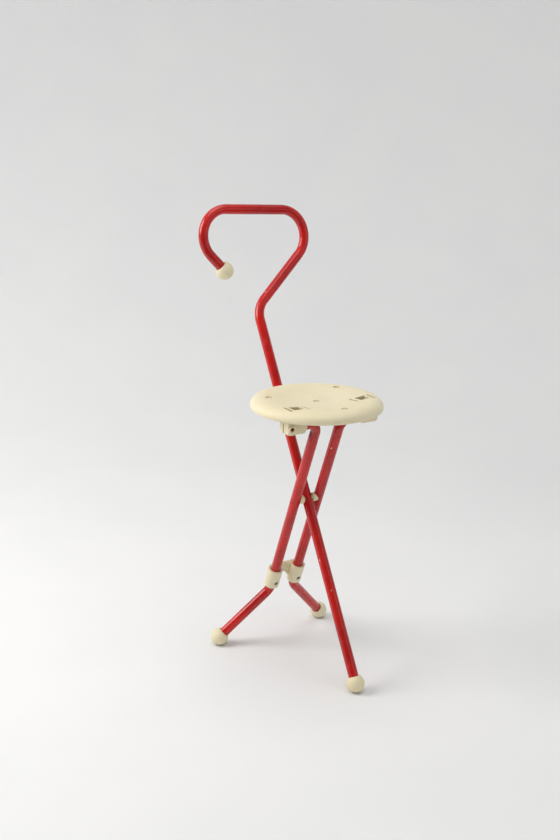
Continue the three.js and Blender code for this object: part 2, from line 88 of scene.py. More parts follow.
MM = 0.001
FIT = 0.3  # gap that the CAD leaves between pieces that touch
OVERCUT = 5  # how far a cutting tool runs past the face it opens

JOINTS = {joint["name"]: Vector(joint["pos_m"]) / MM for joint in frame["joints"]}
MOUNTS = {mount["name"]: Vector(mount["pos_m"]) / MM for mount in frame["record"]["mounts"]}

TUBE = {"radius": 9, "bore": 7.5, "sides": 48}
BALL = {"radius": 16.2, "centre": 15.6, "tube_past": 4, "lip": 1.9, "edge": 0.5}
HANDLE = {
    "start_up": 666.8,  # from the foot ball's centre, along the shaft
    "side": 73.7,  # degrees about the shaft from +X to the side that the tube is first bent towards
    "radius": 48,
    "kick": 50,
    "rise": 112.5,
    "roll": 25.9,  # degrees between the plane of the kick and the plane of the crook and hook
    "crook": 134.5,
    "grip": 119,
    "hook": 135.4,
    "tail": 37.3,
}
LEG = {
    "offset": 24.6,  # from the middle plane
    "top_radius": 20,
    "top_end": 88,
    "foot_out": 87.7,
    "knee_down": 213.3,
    "knee_radius": 30,
}
PIVOT = {"pin": 4, "half": 32.4, "dome": 1, "spigot": 5.6, "spigot_in": 5.4, "flange": 8}
COLLAR = {
    "down": 183,
    "height": 38,
    "radius": 13.5,
    "cradle": 9.7,
    "bridge_front": -4,
    "bridge_lift": 11,
    "arch": 11,
    "screw_down": 190,
}
SCREW = {"head": 3.3, "head_height": 1.6, "shank": 1.6, "recess": 3.75, "recess_depth": 2.2, "cross": 0.9}
SEAT = {
    "radius": 115,
    "widest_at": 5,
    "height": 18.4,
    "crown": 91,
    "roll": 113,
    "foot_inner": 107.3,
    "foot_outer": 110.5,
    "middle": 11.6,  # height of the top face at the middle of the dish
    "flat_to": 38,
    "shoulder": 66,
    "shoulder_height": 16.3,
    "shoulder_roll": 79,
    "skin": 3.6,
    "rib": 2.4,
    "ribs": 8,
    "hub": 20,
    "ring": 70,
    "pad_floor": 8,
    "shaft_clearance": 1.4,
}
DIMPLE = {"circle": 82, "mouth": 6.4, "floor": 5.4, "depth": 1.9, "count": 3}
BLOCK = {
    "inner": 54,  # from the middle plane
    "outer": 92,
    "front": 12,
    "behind": 13.6,
    "back_corner": 10,
    "bottom": -10.8,
    "inner_corner": 6,
    "inner_corner_from": -1,
    "inner_bulge": (1.2, 2.4),
    "outer_corner": 3,
    "flange_inner": 46,
    "flange_bottom": 13.6,
    "pocket_floor": 12.5,
    "tongue_x": 22.5,
    "tongue_y": 2.2,
}
TONGUES = [{"out": 49, "top": 13.4}, {"out": 85, "top": 16.4}]  # tops are heights in the seat
WINDOW = {"out": 68, "x": 19, "y": 20}
BOSS = {"out": 83.8, "z": -2.6, "radius": 8, "proud": 2.2, "hole_out": 84.4, "hole_z": -0.8, "hole": 3.7}
END_SLOT = {"x": -2.9, "width": 2.6, "depth": 2.6, "top": 6.6}
CLIP = {
    "front": -98,
    "back": -80,
    "tip": -118,
    "half": 21,
    "plate": 2.9,
    "arm": 3.2,
    "arm_height": 12,
    "screw_x": -89,
    "screw_y": 16.6,
    "screw_length": 8.4,
    "pad_front": -112,
    "pad_back": -77,
    "pad_half": 23,
}

SOFT_EDGE = {  # remesh grain (mm) and rounds of smoothing
    "seat": (0.6, 2),
    "collar": (0.4, 4),
    "block": (0.4, 3),
    "clip": (0.3, 3),
    "bush": (0.3, 3),
}
OVAL = {"handle": 0.035, "knee": 0.05, "top": 0.10}  # how much each bend is flattened
KINK = [  # dents on the inner side of a leg's top bend: place past its start, sizes and depth
    {"past": -3, "long": 7, "wide": 0.5, "depth": 2.0},
    {"past": 12, "long": 3, "wide": 0.7, "depth": 0.7},
    {"past": 19, "long": 2.5, "wide": 0.6, "depth": 0.5},
]
POCKET_WALL = 2.5  # round each hinge block's pocket
# Darkening of the seat's dimples and of the rims of its windows and slots: partly soiling, partly painted
# shade in the hollows and gaps.
GRIME_SHADE = {"dimple": 0.22, "dimple_edge": 0.50, "edge_width": 1.3}
GRIME_SHADE_SLOT = {"spread": 0.9, "strength": 1.0}
GRIME_SHADE_WINDOW = {"spread": 1.2, "strength": 0.45}

# ------------ frames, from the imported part

CANE_FOOT = MOUNTS["cane_foot_rest"] + Vector((0, 0, BALL["centre"]))
PIVOT_AT = JOINTS["leg_fold"]
HINGE_AT = JOINTS["seat_fold"]
SHAFT_RUN = PIVOT_AT - CANE_FOOT
LEG_RUN = HINGE_AT - PIVOT_AT
SHAFT_LEAN = math.atan2(SHAFT_RUN.x, SHAFT_RUN.z)
LEG_LEAN = math.atan2(LEG_RUN.x, LEG_RUN.z)
FOOT_DOWN = (PIVOT_AT.z - BALL["centre"]) / math.cos(LEG_LEAN)
SEAT_BOX = [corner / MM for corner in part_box("seat")]
SEAT_AT = Vector((SEAT_BOX[1].x - SEAT_BOX[1].y, 0, SEAT_BOX[0].z))
HINGE_IN_SEAT = HINGE_AT - SEAT_AT
SHAFT_IN_SEAT = PIVOT_AT - SEAT_AT


def local_frame(origin, lean=0.0):
    """A millimetre frame at `origin` (mm) whose +Z leans towards +X by `lean` radians."""
    return Matrix.Scale(MM, 4) @ Matrix.Translation(origin) @ Matrix.Rotation(lean, 4, "Y")


SHAFT_FRAME = local_frame(PIVOT_AT, SHAFT_LEAN)
LEG_FRAME = local_frame(PIVOT_AT, LEG_LEAN)
SEAT_FRAME = local_frame(SEAT_AT)
HINGE_FRAME = local_frame(HINGE_AT)
SIDES = {"left": 1, "right": -1}

# ------------ solids


def link(name, mesh):
    made = bpy.data.objects.new(name, mesh)
    bpy.context.scene.collection.objects.link(made)
    return made


def solid(vertices, faces):
    """A closed, outward-facing solid from its vertices and faces."""
    mesh = bpy.data.meshes.new("solid")
    mesh.from_pydata(vertices, [], faces)
    shell = bmesh.new()
    shell.from_mesh(mesh)
    bmesh.ops.recalc_face_normals(shell, faces=shell.faces)
    shell.to_mesh(mesh)
    shell.free()
    return link("solid", mesh)


def lathe(profile, sides=96):
    """A solid turned about Z from (radius, height) points that start and end on the axis."""
    vertices = [(0, 0, profile[0][1])]
    turns = [2 * math.pi * i / sides for i in range(sides)]
    for radius, height in profile[1:-1]:
        vertices += [(radius * math.cos(a), radius * math.sin(a), height) for a in turns]
    vertices.append((0, 0, profile[-1][1]))
    last = len(vertices) - 1
    rings = len(profile) - 2
    faces = []
    for i in range(sides):
        j = (i + 1) % sides
        faces.append((0, 1 + j, 1 + i))
        for ring in range(rings - 1):
            low = 1 + ring * sides
            faces.append((low + i, low + j, low + sides + j, low + sides + i))
        top = 1 + (rings - 1) * sides
        faces.append((top + i, top + j, last))
    return solid(vertices, faces)


def rod(radius, start, end, sides=64):
    """A round bar between two points."""
    start, end = Vector(start), Vector(end)
    span = end - start
    turn = span.to_track_quat("Z", "Y").to_matrix().to_4x4()
    made = lathe([(0, 0), (radius, 0), (radius, span.length), (0, span.length)], sides)
    made.data.transform(Matrix.Translation(start) @ turn)
    return made


def slab(low, high):
    """A box between two opposite corners, given in any order."""
    low, high = [min(a, b) for a, b in zip(low, high)], [max(a, b) for a, b in zip(low, high)]
    corners = [(x, y, z) for x in (low[0], high[0]) for y in (low[1], high[1]) for z in (low[2], high[2])]
    faces = [(0, 1, 3, 2), (4, 6, 7, 5), (0, 4, 5, 1), (2, 3, 7, 6), (0, 2, 6, 4), (1, 5, 7, 3)]
    return solid(corners, faces)


def prism(outline, low, high, into_space):
    """A flat outline of (u, v) points carried from depth low to depth high by into_space(u, v, depth)."""
    count = len(outline)
    vertices = [into_space(u, v, depth) for depth in (low, high) for u, v in outline]
    faces = [tuple(range(count)), tuple(range(2 * count - 1, count - 1, -1))]
    for i in range(count):
        j = (i + 1) % count
        faces.append((i, j, count + j, count + i))
    return solid(vertices, faces)


def settle(made):
    """Replaces an object's mesh by what its modifiers make of it."""
    graph = bpy.context.evaluated_depsgraph_get()
    mesh = bpy.data.meshes.new_from_object(made.evaluated_get(graph))
    made.modifiers.clear()
    made.data = mesh
    return made


def combine(base, tools, operation):
    for tool in tools:
        step = base.modifiers.new("step", "BOOLEAN")
        step.operation = operation
        step.solver = "MANIFOLD"
        step.object = tool
    settle(base)
    for tool in tools:
        bpy.data.objects.remove(tool)
    return base


def union(solids):
    return combine(solids[0], solids[1:], "UNION")


def cut(base, tools):
    return combine(base, tools, "DIFFERENCE")


def soften(made, kind):
    """Remeshes a hard-edged solid on a fine grain and rounds its edges, as a moulding's are."""
    grain, rounds = SOFT_EDGE[kind]
    remesh = made.modifiers.new("grid", "REMESH")
    remesh.mode = "VOXEL"
    remesh.voxel_size = grain
    smooth = made.modifiers.new("round", "SMOOTH")
    smooth.factor = 0.5
    smooth.iterations = rounds
    return settle(made)


def arc(centre, radius, start, end, steps):
    """Points on an arc, its angles in degrees."""
    angles = [math.radians(start + (end - start) * i / steps) for i in range(steps + 1)]
    return [(centre[0] + radius * math.cos(a), centre[1] + radius * math.sin(a)) for a in angles]


def bezier(start, control, end, steps=16):
    """Points on a quadratic curve, without its first point."""
    points = []
    for i in range(1, steps + 1):
        t = i / steps
        weights = ((1 - t) ** 2, 2 * t * (1 - t), t * t)
        points.append(tuple(sum(w * p[k] for w, p in zip(weights, (start, control, end))) for k in (0, 1)))
    return points


def finish_piece(made, node, local, material, sharp=40):
    """Carries a finished piece into the row frame, gives it its material in one slot and its body, names it
    after its CAD node and hides that node.
    """
    made.name = node + "_look"
    made.data.name = made.name
    made.data.transform(local)
    made.data.materials.clear()
    made.data.materials.append(material)
    made.data.shade_smooth()
    made.data.set_sharp_from_angle(angle=math.radians(sharp))
    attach(made, frame["nodes"][node]["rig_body"])
    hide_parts(node)
    return made


# ------------ material recipes


class Recipe:
    """A node material in the making. Places are read in the row frame, in metres."""

    def __init__(self, name):
        self.material = bpy.data.materials.new(name)
        self.material.use_nodes = True
        self.tree = self.material.node_tree
        self.shader = self.tree.nodes["Principled BSDF"]
        self.place = self.add("ShaderNodeTexCoord").outputs["Object"]

    def add(self, kind, inputs=None, **settings):
        node = self.tree.nodes.new(kind)
        for key, value in settings.items():
            setattr(node, key, value)
        self.feed(node, inputs or {})
        return node

    def feed(self, node, inputs):
        for key, value in inputs.items():
            if isinstance(value, bpy.types.NodeSocket):
                self.tree.links.new(value, node.inputs[key])
            else:
                node.inputs[key].default_value = value

    def noise(self, scale, detail):
        inputs = {"Vector": self.place, "Scale": scale, "Detail": detail, "Roughness": 0.55, "Distortion": 0.0}
        return self.add("ShaderNodeTexNoise", inputs).outputs["Fac"]

    def cells(self, scale, feature="F1", place=None):
        inputs = {"Vector": place or self.place, "Scale": scale}
        return self.add("ShaderNodeTexVoronoi", inputs, feature=feature)

    def stretched(self, scale, place=None):
        """Places stretched by a factor along each axis."""
        inputs = {"Vector": place or self.place, "Scale": scale}
        return self.add("ShaderNodeMapping", inputs).outputs["Vector"]

    def maths(self, operation, first, second=0.0):
        return self.add("ShaderNodeMath", {0: first, 1: second}, operation=operation).outputs[0]

    def ramp(self, value, low, high, out_low=0.0, out_high=1.0):
        """Eases a value from one span to another and holds it at the ends."""
        inputs = {"Value": value, "From Min": low, "From Max": high, "To Min": out_low, "To Max": out_high}
        return self.add("ShaderNodeMapRange", inputs, interpolation_type="SMOOTHSTEP").outputs["Result"]

    def mix(self, factor, first, second):
        node = self.add("ShaderNodeMix", data_type="RGBA")
        for socket, value in zip((node.inputs[0], node.inputs[6], node.inputs[7]), (factor, first, second)):
            if isinstance(value, bpy.types.NodeSocket):
                self.tree.links.new(value, socket)
            else:
                socket.default_value = value
        return node.outputs[2]

    def axis(self, name, place=None):
        return self.add("ShaderNodeSeparateXYZ", {"Vector": place or self.place}).outputs[name]

    def scratches(self, place, width, gate_scale, gate):
        """Hairlines: the borders of stretched cells, kept only where a noise passes the gate."""
        bent = self.add("ShaderNodeVectorMath", {0: place, 1: self.warp(place, 1.2)}, operation="ADD")
        borders = self.cells(1.0, "DISTANCE_TO_EDGE", bent.outputs["Vector"]).outputs["Distance"]
        lines = self.ramp(borders, 0.0, width, 1.0, 0.0)
        kept = self.ramp(self.noise(gate_scale, 3), gate, gate + 0.08)
        return self.maths("MULTIPLY", lines, kept)

    def warp(self, place, amount):
        drift = self.add("ShaderNodeTexNoise", {"Vector": place, "Scale": 0.7, "Detail": 2.0})
        inputs = {0: drift.outputs["Color"], "Scale": amount}
        scaled = self.add("ShaderNodeVectorMath", inputs, operation="SCALE")
        return scaled.outputs["Vector"]

    def bump(self, height, distance, normal=None):
        inputs = {"Height": height, "Distance": distance, "Strength": 1.0}
        if normal is not None:
            inputs["Normal"] = normal
        return self.add("ShaderNodeBump", inputs).outputs["Normal"]


def colour(red, green, blue):
    return (red, green, blue, 1.0)


PAINT = {
    "full": colour(0.55, 0.011, 0.008),
    "deep": colour(0.41, 0.009, 0.008),
    "faded": colour(0.58, 0.035, 0.025),
    "primer": colour(0.62, 0.42, 0.38),
    # nearly black: soiling in the kinked bend's dents, partly painted shade in the crease
    "grime_shade_colour": colour(0.045, 0.012, 0.010),
}
CREAM = {
    "clean": colour(0.78, 0.71, 0.50),
    "aged": colour(0.75, 0.65, 0.395),
    "speck": colour(0.36, 0.27, 0.15),
    "scuff": colour(0.50, 0.43, 0.31),
    # brown for soiling, also used as painted shade in hollows and in the seat's dimples and openings
    "dirt_and_shade": colour(0.27, 0.185, 0.085),
}
STEEL = {"bare": colour(0.34, 0.33, 0.31), "dull": colour(0.12, 0.11, 0.10), "rust": colour(0.16, 0.07, 0.03)}


def red_paint():
    """Gloss paint on tube: uneven coat, orange peel, hairlines along and across, chips to the primer."""
    made = Recipe("red_paint")
    along = made.add("ShaderNodeUVMap", uv_map="run").outputs["UV"]
    coat = made.ramp(made.noise(16, 3), 0.35, 0.65)
    mottle = made.ramp(made.noise(260, 5), 0.45, 0.75)
    base = made.mix(coat, PAINT["deep"], PAINT["full"])
    base = made.mix(made.maths("MULTIPLY", mottle, 0.10), base, PAINT["faded"])

    long_lines = made.scratches(made.stretched((900, 45, 1), along), 0.035, 35, 0.52)
    cross_lines = made.scratches(made.stretched((110, 600, 1), along), 0.03, 28, 0.56)
    lines = made.maths("MAXIMUM", long_lines, cross_lines)
    base = made.mix(made.maths("MULTIPLY", lines, 0.3), base, PAINT["faded"])

    # Darker in the dents of the kinked bend: worn, soiled paint and partly painted shade in the crease.
    grime_and_shade = made.add("ShaderNodeAttribute", attribute_name="grime_and_shade").outputs["Fac"]
    dent_grime_shade = made.maths("MULTIPLY", grime_and_shade, made.ramp(made.noise(420, 4), 0.3, 0.6, 0.45, 1.0))
    base = made.mix(dent_grime_shade, base, PAINT["grime_shade_colour"])

    spots = made.cells(95)
    rare = made.axis("X", spots.outputs["Color"])
    size = made.ramp(rare, 0.90, 1.0, 0.0, 0.16)
    ragged = made.maths("ADD", spots.outputs["Distance"], made.maths("MULTIPLY", made.noise(900, 3), 0.12))
    chip = made.maths("LESS_THAN", ragged, made.maths("ADD", size, 0.045))
    low = made.ramp(made.axis("Z"), 0.10, 0.45, 1.0, 0.15)
    chip = made.maths("MULTIPLY", chip, made.maths("LESS_THAN", 0.55, made.maths("ADD", low, rare)))
    chip = made.maths("MULTIPLY", chip, made.maths("LESS_THAN", 0.93, rare))
    base = made.mix(chip, base, PAINT["primer"])

    gloss = made.ramp(made.noise(70, 4), 0.35, 0.7, 0.13, 0.24)
    gloss = made.maths("ADD", gloss, made.maths("MULTIPLY", lines, 0.22))
    gloss = made.maths("ADD", gloss, made.maths("MULTIPLY", dent_grime_shade, 0.30))
    peel = made.bump(made.noise(520, 2), 0.00006)
    marked = made.bump(made.maths("SUBTRACT", 1.0, made.maths("MAXIMUM", lines, chip)), 0.00005, peel)
    made.feed(made.shader, {
        "Base Color": base,
        "Roughness": gloss,
        "Normal": marked,
        "Specular IOR Level": made.ramp(dent_grime_shade, 0.0, 1.0, 0.40, 0.1),
        "Coat Weight": made.ramp(dent_grime_shade, 0.0, 1.0, 0.25, 0.0),
        "Coat Roughness": 0.07,
        "Coat Normal": peel,
    })
    return made.material


def cream_plastic(name, aged=0.5, dusty=0.0):
    """Moulded plastic: yellowing, specks, scuffs, a fine eroded skin, soiling low down, and hollows darkened,
    partly soiled and partly as painted shade.
    """
    made = Recipe(name)
    yellowing = made.ramp(made.noise(11, 3), 0.35, 0.7, 0.0, aged)
    cloud = made.ramp(made.noise(75, 5), 0.4, 0.75, 0.0, 0.35 * aged)
    base = made.mix(made.maths("ADD", yellowing, cloud), CREAM["clean"], CREAM["aged"])

    specks = made.cells(300)
    speck = made.maths("LESS_THAN", specks.outputs["Distance"], 0.17)
    chosen = made.maths("LESS_THAN", 0.86, made.axis("Y", specks.outputs["Color"]))
    speck = made.maths("MULTIPLY", speck, chosen)
    base = made.mix(made.maths("MULTIPLY", speck, 0.55), base, CREAM["speck"])

    first = made.scratches(made.stretched((420, 90, 240)), 0.03, 22, 0.54)
    second = made.scratches(made.stretched((70, 380, 260)), 0.03, 30, 0.56)
    scuffs = made.maths("MAXIMUM", first, second)
    base = made.mix(made.maths("MULTIPLY", scuffs, 0.45), base, CREAM["scuff"])

    # Hollows are darkened, partly as soiling and partly as painted shade: concave spots by pointiness,
    # occluded spots by ambient occlusion.
    pointed = made.add("ShaderNodeNewGeometry").outputs["Pointiness"]
    hollow_shade = made.ramp(pointed, 0.40, 0.49, 0.75, 0.0)
    floor_dirt = made.ramp(made.axis("Z"), 0.001, 0.006, 0.85, 0.0)
    patchy = made.ramp(made.noise(330, 5), 0.35, 0.65, 0.35, 1.0)
    grime_and_shade = made.add("ShaderNodeAttribute", attribute_name="grime_and_shade").outputs["Fac"]
    occlusion = made.add("ShaderNodeAmbientOcclusion", {"Distance": 0.008}, samples=6)
    occlusion_shade = made.ramp(occlusion.outputs["AO"], 0.15, 0.62, 0.85, 0.0)
    hollow_shade = made.maths("MAXIMUM", hollow_shade, occlusion_shade)
    # One brown carries the painted shade in hollows, the seat's marked soiling and painted shade, soiling near
    # the floor and dust on top.
    dirt_and_shade = made.maths("MAXIMUM", made.maths("MAXIMUM", hollow_shade, floor_dirt), grime_and_shade)
    if dusty > 0:
        upward = made.axis("Z", made.add("ShaderNodeNewGeometry").outputs["Normal"])
        dirt_and_shade = made.maths("MAXIMUM", dirt_and_shade, made.ramp(upward, 0.5, 0.9, 0.0, dusty))
    dirt_and_shade = made.maths("MULTIPLY", dirt_and_shade, patchy)
    base = made.mix(dirt_and_shade, base, CREAM["dirt_and_shade"])

    rough = made.ramp(made.noise(60, 4), 0.3, 0.7, 0.40, 0.56)
    rough = made.maths("ADD", rough, made.maths("MULTIPLY", made.maths("MAXIMUM", scuffs, dirt_and_shade), 0.2))
    skin = made.bump(made.noise(1500, 3), 0.00003)
    waves = made.bump(made.noise(90, 2), 0.00012, skin)
    marked = made.bump(made.maths("SUBTRACT", 1.0, scuffs), 0.00004, waves)
    made.feed(made.shader, {
        "Base Color": base,
        "Roughness": rough,
        "Normal": marked,
        "Subsurface Weight": 0.08,
        "Subsurface Radius": (1.0, 0.75, 0.4),
        "Subsurface Scale": 0.003,
    })
    return made.material


def old_steel():
    """Plated steel gone dull, with a little rust in the cuts."""
    made = Recipe("old_steel")
    tone = made.ramp(made.noise(700, 4), 0.35, 0.65)
    base = made.mix(tone, STEEL["dull"], STEEL["bare"])
    rust = made.ramp(made.noise(1200, 5), 0.55, 0.7, 0.0, 0.8)
    base = made.mix(rust, base, STEEL["rust"])
    rough = made.maths("ADD", made.ramp(tone, 0.0, 1.0, 0.5, 0.32), made.maths("MULTIPLY", rust, 0.3))
    made.feed(made.shader, {
        "Base Color": base,
        "Roughness": rough,
        "Metallic": made.ramp(rust, 0.2, 0.8, 0.9, 0.1),
        "Normal": made.bump(made.noise(2600, 3), 0.00003),
    })
    return made.material


# ------------ bent tubes


def station(at, ahead, aside, length, bend=0.0, oval=0.0):
    return {"at": at, "ahead": ahead, "aside": aside, "length": length, "bend": bend, "oval": oval}


def straight_stations(start, move):
    """Evenly spaced stations. A roll turns `aside` about the run a little at each one."""
    long, roll = move["go"], math.radians(move.get("roll", 0))
    ahead = start["ahead"]
    steps = max(1, round(long / move.get("step", 4)))
    stations = []
    for i in range(1, steps + 1):
        share = i / steps
        aside = Matrix.Rotation(roll * share, 3, ahead) @ start["aside"]
        at = start["at"] + ahead * long * share
        stations.append(station(at, ahead, aside, start["length"] + long * share))
    return stations


def bend_stations(start, move):
    """Stations round a bend towards `aside`, or away from it when the turn is negative."""
    side = math.copysign(1, move["turn"])
    turn = math.radians(abs(move["turn"]))
    total = turn * move["radius"]
    axis = start["ahead"].cross(start["aside"]) * side
    arm = start["aside"] * -side * move["radius"]
    centre = start["at"] - arm
    steps = max(6, round(total / move.get("step", 1.6)))
    stations = []
    for i in range(1, steps + 1):
        share = i / steps
        turned = Matrix.Rotation(turn * share, 3, axis)
        ease = min(1.0, min(share, 1 - share) * total / 5)
        bend = side * ease * ease * (3 - 2 * ease)
        length = start["length"] + total * share
        ahead, aside = turned @ start["ahead"], turned @ start["aside"]
        stations.append(station(centre + turned @ arm, ahead, aside, length, bend, move["oval"]))
    return stations


def bent_run(start, ahead, aside, moves):
    """Stations along a run of straights and bends: place, axes, arc length and how bent it is."""
    stations = [station(Vector(start), Vector(ahead), Vector(aside), 0.0)]
    for move in moves:
        make = straight_stations if "go" in move else bend_stations
        stations += make(stations[-1], move)
    return stations


def section_radius(stop, angle, dents):
    """The outer radius at an angle from the run's inner side, with flattened bends and pressed dents."""
    squeeze = stop["oval"] * abs(stop["bend"])
    across, upright = 1 - squeeze, 1 + squeeze / 2
    radius = TUBE["radius"] * math.hypot(across * math.cos(angle), upright * math.sin(angle))
    depth = 0.0
    for dent in dents:
        aim = math.atan2(math.sin(angle - dent["angle"]), math.cos(angle - dent["angle"]))
        gone = (stop["length"] - dent["length"]) / dent["long"]
        fall = math.exp(-((aim / dent["wide"]) ** 2) - gone * gone)
        depth += dent["depth"] * fall
    return radius - depth, depth


def sweep_tube(stations, dents=()):
    """A hollow tube swept along the stations. Its `run` map holds metres around and along the tube."""
    sides = TUBE["sides"]
    wall = TUBE["radius"] - TUBE["bore"]
    vertices, grime_and_shade = [], []
    for inner in (False, True):
        for stop in stations:
            aside = stop["aside"]
            upright = stop["ahead"].cross(aside)
            for i in range(sides):
                angle = 2 * math.pi * i / sides
                radius, depth = section_radius(stop, angle, dents)
                reach = radius - wall if inner else radius
                vertices.append(stop["at"] + reach * (math.cos(angle) * aside + math.sin(angle) * upright))
                # the dent depth, a mask for soiling and painted shade in the crease
                grime_and_shade.append(min(1.0, depth * 0.9))
    count = len(stations)
    inner_start = count * sides
    faces = []
    for i in range(sides):
        j = (i + 1) % sides
        for ring in range(count - 1):
            low = ring * sides
            faces.append((low + i, low + j, low + sides + j, low + sides + i))
            low += inner_start
            faces.append((low + j, low + i, low + sides + i, low + sides + j))
        faces.append((j, i, inner_start + i, inner_start + j))
        last = (count - 1) * sides
        faces.append((last + i, last + j, inner_start + last + j, inner_start + last + i))
    made = solid(vertices, faces)
    mesh = made.data
    store = mesh.attributes.new("grime_and_shade", "FLOAT", "POINT")
    store.data.foreach_set("value", grime_and_shade)
    run = mesh.uv_layers.new(name="run")
    around = 2 * math.pi * TUBE["radius"] / sides
    for polygon in mesh.polygons:
        spots = [mesh.loops[k].vertex_index for k in polygon.loop_indices]
        wraps = max(s % sides for s in spots) - min(s % sides for s in spots) > 1
        for k, spot in zip(polygon.loop_indices, spots):
            i = spot % sides
            turned = i + sides if wraps and i == 0 else i
            stop = stations[(spot % inner_start) // sides]
            run.data[k].uv = (turned * around * MM, stop["length"] * MM)
    return made


def build_cane_tube(material):
    side = math.radians(HANDLE["side"])
    radius = HANDLE["radius"]
    past = BALL["tube_past"]
    start = (0, 0, -SHAFT_RUN.length - past)
    stations = bent_run(start, (0, 0, 1), (math.cos(side), math.sin(side), 0), [
        {"go": HANDLE["start_up"] + past, "step": 8},
        {"turn": HANDLE["kick"], "radius": radius, "oval": OVAL["handle"]},
        {"go": HANDLE["rise"], "roll": HANDLE["roll"], "step": 8},
        {"turn": -HANDLE["crook"], "radius": radius, "oval": OVAL["handle"]},
        {"go": HANDLE["grip"], "step": 8},
        {"turn": -HANDLE["hook"], "radius": radius, "oval": OVAL["handle"]},
        {"go": HANDLE["tail"] + past, "step": 8},
    ])
    reach = TUBE["radius"] + OVERCUT
    hole = rod(PIVOT["spigot"] + FIT, (0, -reach, 0), (0, reach, 0))
    made = cut(sweep_tube(stations), [hole])
    finish_piece(made, "cane_tube", SHAFT_FRAME, material, 50)

    back = -stations[-1]["ahead"]
    return stations[-1]["at"] + past * back, back


def leg_stations(sign):
    shin = math.hypot(LEG["foot_out"], FOOT_DOWN - LEG["knee_down"])
    splay = math.atan2(LEG["foot_out"], FOOT_DOWN - LEG["knee_down"])
    trim = LEG["knee_radius"] * math.tan(splay / 2)
    past = BALL["tube_past"]
    outward = LEG["offset"] + LEG["foot_out"] + past * math.sin(splay)
    start = (0, sign * outward, -FOOT_DOWN - past * math.cos(splay))
    ahead = (0, -sign * math.sin(splay), math.cos(splay))
    aside = (0, sign * math.cos(splay), math.sin(splay))
    straight = LEG["knee_down"] - trim + LEG_RUN.length - LEG["top_radius"]
    return bent_run(start, ahead, aside, [
        {"go": shin + past - trim, "step": 8},
        {"turn": math.degrees(splay), "radius": LEG["knee_radius"], "step": 0.8, "oval": OVAL["knee"]},
        {"go": straight - 30, "step": 8},
        {"go": 30, "step": 0.8},
        {"turn": 90, "radius": LEG["top_radius"], "step": 0.5, "oval": OVAL["top"]},
        {"go": LEG["top_end"] - LEG["offset"] - LEG["top_radius"], "step": 2},
    ])


def build_leg_tube(side, name, material):
    sign = SIDES[side]

    stations = leg_stations(sign)
    top_bend = next(s["length"] for s in stations if s["oval"] == OVAL["top"])
    dents = [{**dent, "length": top_bend + dent["past"], "angle": 0} for dent in KINK]
    y = sign * LEG["offset"]
    reach = TUBE["radius"] + OVERCUT
    z = -COLLAR["screw_down"]
    holes = [
        rod(PIVOT["pin"] + FIT, (0, y - reach, 0), (0, y + reach, 0)),
        rod(SCREW["shank"] + FIT, (0, y, z), (reach, y, z)),
    ]
    made = cut(sweep_tube(stations, dents), holes)
    finish_piece(made, name, LEG_FRAME, material, 50)
    toward = stations[0]["ahead"]
    return stations[0]["at"] + BALL["tube_past"] * toward, toward


# ------------ ball ends


def ball_profile():
    """From the socket's floor, out over the flat round its mouth, and back to the far pole."""
    bore = TUBE["radius"] + FIT
    edge = BALL["edge"]
    rim = bore + BALL["lip"]
    mouth = math.sqrt(BALL["radius"] ** 2 - rim**2)
    floor = -BALL["tube_past"] - FIT
    points = [(0, floor), (bore - edge, floor), (bore, floor + edge), (bore, mouth - edge)]
    points += arc((bore + edge, mouth - edge), edge, 180, 90, 5)[1:]
    start = math.degrees(math.acos(mouth / BALL["radius"]))
    points.append((rim - 0.35, mouth - 0.02))
    for degrees in [start + 0.7] + [start + 2 + i * (180 - start - 2) / 54 for i in range(54)]:
        angle = math.radians(degrees)
        points.append((BALL["radius"] * math.sin(angle), BALL["radius"] * math.cos(angle)))
    points.append((0, -BALL["radius"]))
    return points


def stand_on_floor(made):
    """Trims what is under the floor and closes the cut with a flat."""
    body = bmesh.new()
    body.from_mesh(made.data)
    everything = list(body.verts) + list(body.edges) + list(body.faces)
    bmesh.ops.bisect_plane(body, geom=everything, plane_co=(0, 0, 0), plane_no=(0, 0, -1), clear_outer=True)
    rim = [edge for edge in body.edges if edge.is_boundary]
    bmesh.ops.edgeloop_fill(body, edges=rim)
    bmesh.ops.recalc_face_normals(body, faces=body.faces)
    body.to_mesh(made.data)
    body.free()


def build_ball(node, local, centre, toward, material, stands):
    made = lathe(ball_profile(), 96)
    turn = Vector(toward).to_track_quat("Z", "Y").to_matrix().to_4x4()
    made.data.transform(Matrix.Translation(centre) @ turn)
    finish_piece(made, node, local, material)
    if stands:
        stand_on_floor(made)


# ------------ screws and pivot


def screw(length):
    """A pan-head screw along +X: seating face at x = 0, domed head, crossed driver slots."""
    head, height, shank = SCREW["head"], SCREW["head_height"], SCREW["shank"]
    profile = [(0, -length), (shank * 0.6, -length), (shank, -length + 1), (shank, 0), (head - 0.1, 0)]
    profile += [(head, 0.15), (head, height * 0.45)]
    profile += bezier((head, height * 0.45), (head * 0.92, height), (head * 0.35, height), 8)
    profile.append((0, height))
    made = lathe(profile, 48)
    made.data.transform(Matrix.Rotation(math.pi / 2, 4, "Y"))
    half, reach = SCREW["cross"] / 2, head * 0.68
    slots = [
        slab((height * 0.35, -reach, -half), (height * 3, reach, half)),
        slab((height * 0.35, -half, -reach), (height * 3, half, reach)),
    ]
    return cut(made, slots)


def build_collar_screw(side, name, material):
    seat = COLLAR["radius"] - SCREW["recess_depth"] + FIT
    made = screw(seat - TUBE["bore"] + 1)
    made.data.transform(Matrix.Translation((seat, SIDES[side] * LEG["offset"], -COLLAR["screw_down"])))
    finish_piece(made, name, LEG_FRAME, material, 30)


